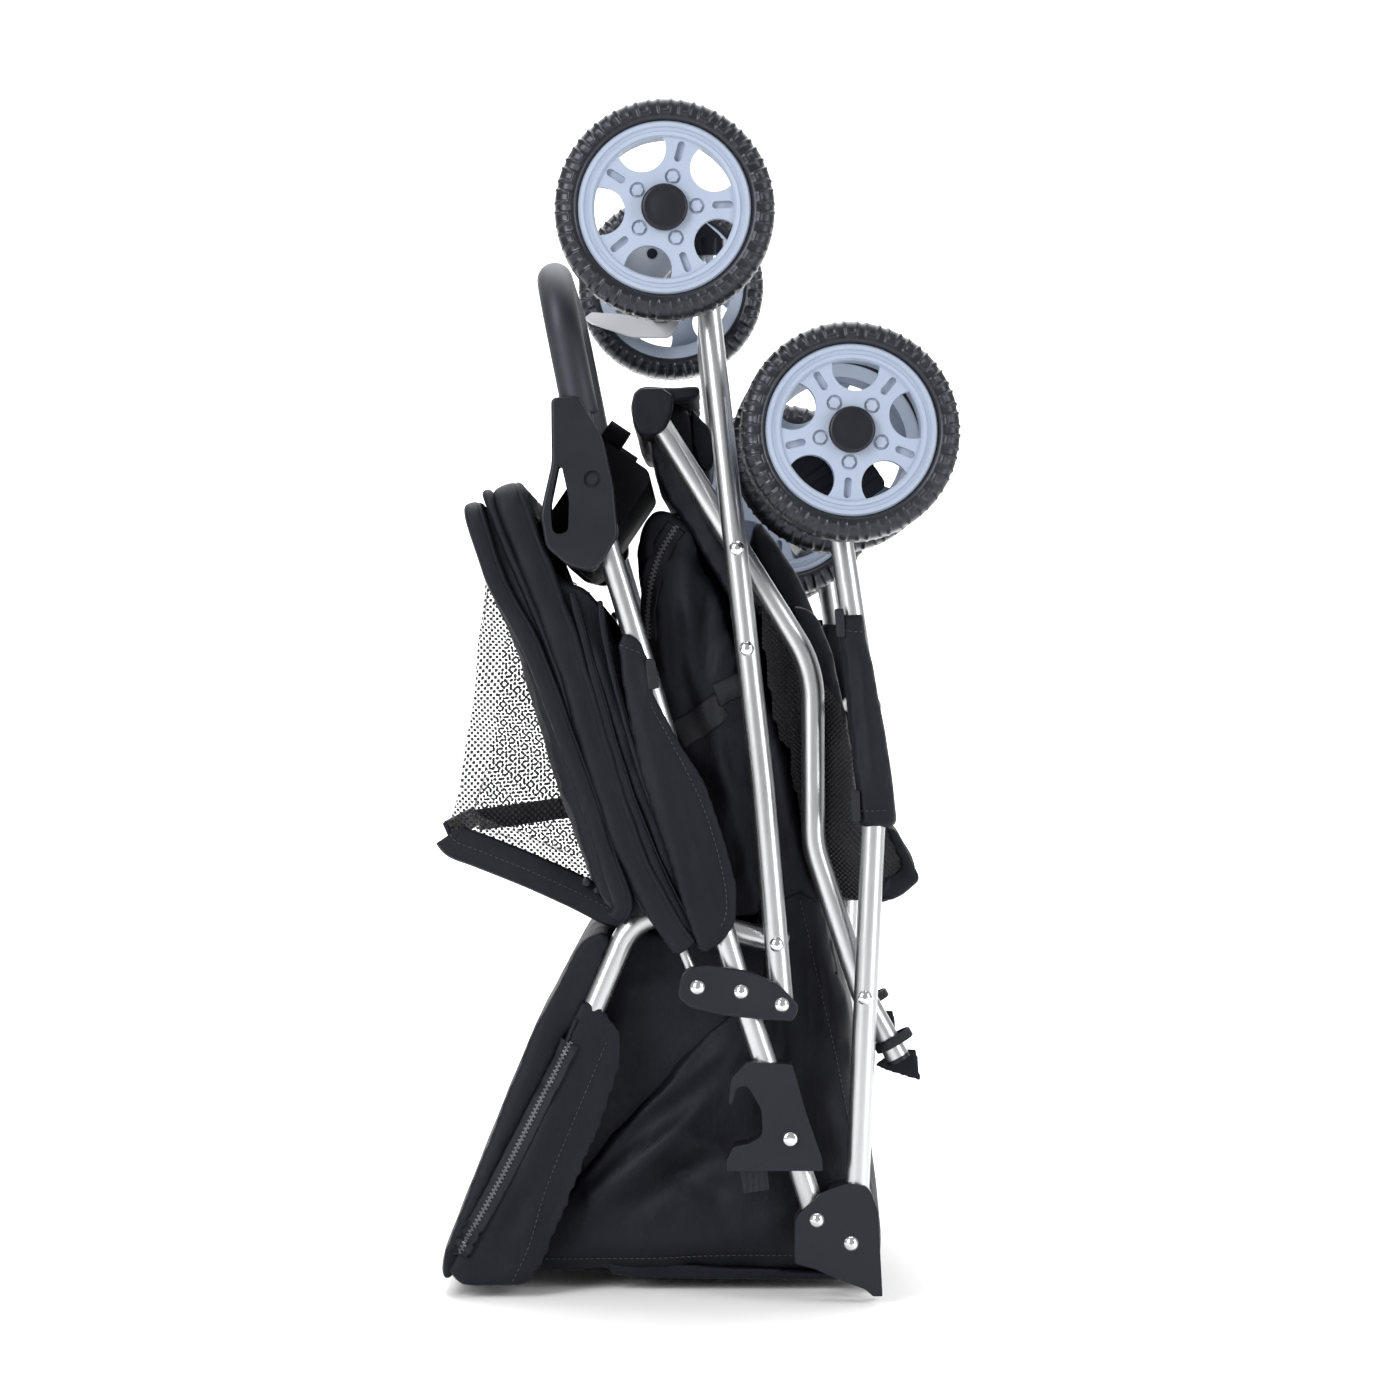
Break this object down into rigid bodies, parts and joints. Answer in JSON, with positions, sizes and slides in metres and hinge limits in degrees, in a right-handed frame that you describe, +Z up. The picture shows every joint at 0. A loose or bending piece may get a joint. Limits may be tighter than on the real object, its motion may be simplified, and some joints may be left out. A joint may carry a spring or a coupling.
{
  "type": "pet stroller",
  "caption": "Folding pet stroller, shown folded: linked silver tube frame, twin front casters, rear wheels, soft zipped cabin, mesh basket and canopy.",
  "frame": {"origin": "middle of the footprint at floor level, with the stroller folded and standing on its knuckles and front bar", "axes": "+Z up, -Y towards the stroller's left side, +X towards the front legs"},
  "size_m": [0.3566, 0.4574, 0.815],
  "materials": {
    "silver_tube": "satin silver anodised tube",
    "black_plastic": "moulded black nylon, fine grain",
    "chrome_rivet": "bright domed rivet heads",
    "zinc_steel": "zinc-plated steel axle",
    "foam": "matte black foam grip",
    "black_fabric": "woven black polyester",
    "mesh": "open black polyester mesh",
    "tyre": "black foam tyre with raised lugs",
    "rim": "satin light steel-blue moulding",
    "pedal": "light grey moulding"
  },
  "bodies": {
    "front_leg_frame": {"front_leg_left": "silver_tube", "front_leg_right": "silver_tube", "knuckle_left": "black_plastic", "knuckle_right": "black_plastic", "front_crossbar": "silver_tube", "caster_head_left": "black_plastic", "caster_head_right": "black_plastic", "caster_stems": "zinc_steel", "front_rivets": "chrome_rivet", "basket_sleeves": "black_fabric", "snap_clips": "black_plastic"},
    "handle_frame": {"handle_tube_left": "silver_tube", "handle_tube_right": "silver_tube", "pivot_plate_left": "black_plastic", "pivot_plate_right": "black_plastic", "handle_housing_left": "black_plastic", "handle_housing_right": "black_plastic", "handle_grip": "foam", "grip_core": "silver_tube", "parent_tray": "black_plastic", "handle_rivets": "chrome_rivet", "handle_sleeves": "black_fabric"},
    "rear_leg_frame": {"rear_leg_left": "silver_tube", "rear_leg_right": "silver_tube", "rear_bracket_left": "black_plastic", "rear_bracket_right": "black_plastic", "rear_axle": "zinc_steel", "rear_rivets": "chrome_rivet", "rear_panel": "black_fabric"},
    "basket_rails": {"basket_rail_left": "silver_tube", "basket_rail_right": "silver_tube", "rail_crossbar": "silver_tube", "rail_plugs": "black_plastic", "basket_mesh": "mesh", "rail_flap": "black_fabric"},
    "cabin_rim": {"cabin_rim_tube": "silver_tube", "front_panel": "black_fabric", "cabin_fabric": "black_fabric"},
    "canopy": {"canopy_hoop": "zinc_steel", "canopy_fabric": "black_fabric", "mesh_window": "mesh"},
    "lock_slider_left": {"lock_slider_left": "black_plastic"},
    "brake_pedal_left": {"brake_pedal_left": "pedal"},
    "caster_yoke_left": {"caster_yoke_left": "black_plastic"},
    "rear_wheel_left": {"rear_tyre_left": "tyre", "rear_rim_left": "rim"},
    "front_wheel_left_a": {"front_tyre_left_a": "tyre", "front_rim_left_a": "rim"},
    "front_wheel_left_b": {"front_tyre_left_b": "tyre", "front_rim_left_b": "rim"},
    "lock_slider_right": {"lock_slider_right": "black_plastic"},
    "brake_pedal_right": {"brake_pedal_right": "pedal"},
    "caster_yoke_right": {"caster_yoke_right": "black_plastic"},
    "rear_wheel_right": {"rear_tyre_right": "tyre", "rear_rim_right": "rim"},
    "front_wheel_right_a": {"front_tyre_right_a": "tyre", "front_rim_right_a": "rim"},
    "front_wheel_right_b": {"front_tyre_right_b": "tyre", "front_rim_right_b": "rim"}
  },
  "joints": [
    {"name": "frame_fold", "type": "hinge", "parent": "front_leg_frame", "child": "handle_frame", "pos_m": [0.08197, -0.00081, 0.052], "axis": [0, -1, 0], "range_deg": [0, 158]},
    {"name": "rear_leg_fold", "type": "hinge", "parent": "handle_frame", "child": "rear_leg_frame", "pos_m": [0.05797, -0.00081, 0.2], "axis": [0, -1, 0], "range_deg": [-120, 0]},
    {"name": "basket_rail_fold", "type": "hinge", "parent": "front_leg_frame", "child": "basket_rails", "pos_m": [0.11497, -0.00081, 0.2045], "axis": [0, -1, 0], "range_deg": [0, 100]},
    {"name": "cabin_rim_fold", "type": "hinge", "parent": "rear_leg_frame", "child": "cabin_rim", "pos_m": [0.05447, -0.00081, 0.241], "axis": [0, -1, 0], "range_deg": [0, 105]},
    {"name": "canopy_fold", "type": "hinge", "parent": "handle_frame", "child": "canopy", "pos_m": [-0.00003, -0.00081, 0.212], "axis": [0, -1, 0], "range_deg": [0, 65]},
    {"name": "lock_slide_left", "type": "slide", "parent": "handle_frame", "child": "lock_slider_left", "axis": [-0.3142, 0, 0.9493], "range_m": [0, 0.018], "stiffness_N_per_m": 600},
    {"name": "brake_left", "type": "hinge", "parent": "rear_leg_frame", "child": "brake_pedal_left", "pos_m": [-0.03103, -0.18081, 0.714], "axis": [0, -1, 0], "range_deg": [-14, 0]},
    {"name": "caster_swivel_left", "type": "hinge", "parent": "front_leg_frame", "child": "caster_yoke_left", "pos_m": [0.07997, -0.16281, 0.574], "axis": [0.578, 0, -0.816], "range_deg": [-15, 25]},
    {"name": "front_spin_left_a", "type": "hinge", "parent": "caster_yoke_left", "child": "front_wheel_left_a", "pos_m": [0.10294, -0.20695, 0.59027], "axis": [0.0569, -0.9976, 0.0403], "continuous": true},
    {"name": "front_spin_left_b", "type": "hinge", "parent": "caster_yoke_left", "child": "front_wheel_left_b", "pos_m": [0.0977, -0.11518, 0.58656], "axis": [0.0569, -0.9976, 0.0403], "continuous": true},
    {"name": "rear_spin_left", "type": "hinge", "parent": "rear_leg_frame", "child": "rear_wheel_left", "pos_m": [-0.02203, -0.20881, 0.74], "axis": [0, 1, 0], "continuous": true},
    {"name": "lock_slide_right", "type": "slide", "parent": "handle_frame", "child": "lock_slider_right", "axis": [-0.3142, 0, 0.9493], "range_m": [0, 0.018], "stiffness_N_per_m": 600},
    {"name": "brake_right", "type": "hinge", "parent": "rear_leg_frame", "child": "brake_pedal_right", "pos_m": [-0.03103, 0.17919, 0.714], "axis": [0, -1, 0], "range_deg": [-14, 0]},
    {"name": "caster_swivel_right", "type": "hinge", "parent": "front_leg_frame", "child": "caster_yoke_right", "pos_m": [0.07997, 0.16119, 0.574], "axis": [0.578, 0, -0.816], "range_deg": [-4, 6]},
    {"name": "front_spin_right_a", "type": "hinge", "parent": "caster_yoke_right", "child": "front_wheel_right_a", "pos_m": [0.05545, 0.20406, 0.55663], "axis": [-0.0924, 0.9936, -0.0654], "continuous": true},
    {"name": "front_spin_right_b", "type": "hinge", "parent": "caster_yoke_right", "child": "front_wheel_right_b", "pos_m": [0.06395, 0.11266, 0.56265], "axis": [-0.0924, 0.9936, -0.0654], "continuous": true},
    {"name": "rear_spin_right", "type": "hinge", "parent": "rear_leg_frame", "child": "rear_wheel_right", "pos_m": [-0.02203, 0.20719, 0.74], "axis": [0, 1, 0], "continuous": true}
  ],
  "couplings": [
    {"joint": "rear_leg_fold", "follows": "frame_fold", "ratio": -0.7181},
    {"joint": "basket_rail_fold", "follows": "frame_fold", "ratio": 0.5775},
    {"joint": "cabin_rim_fold", "follows": "frame_fold", "ratio": 0.6375},
    {"joint": "canopy_fold", "follows": "frame_fold", "ratio": 0.38}
  ]
}
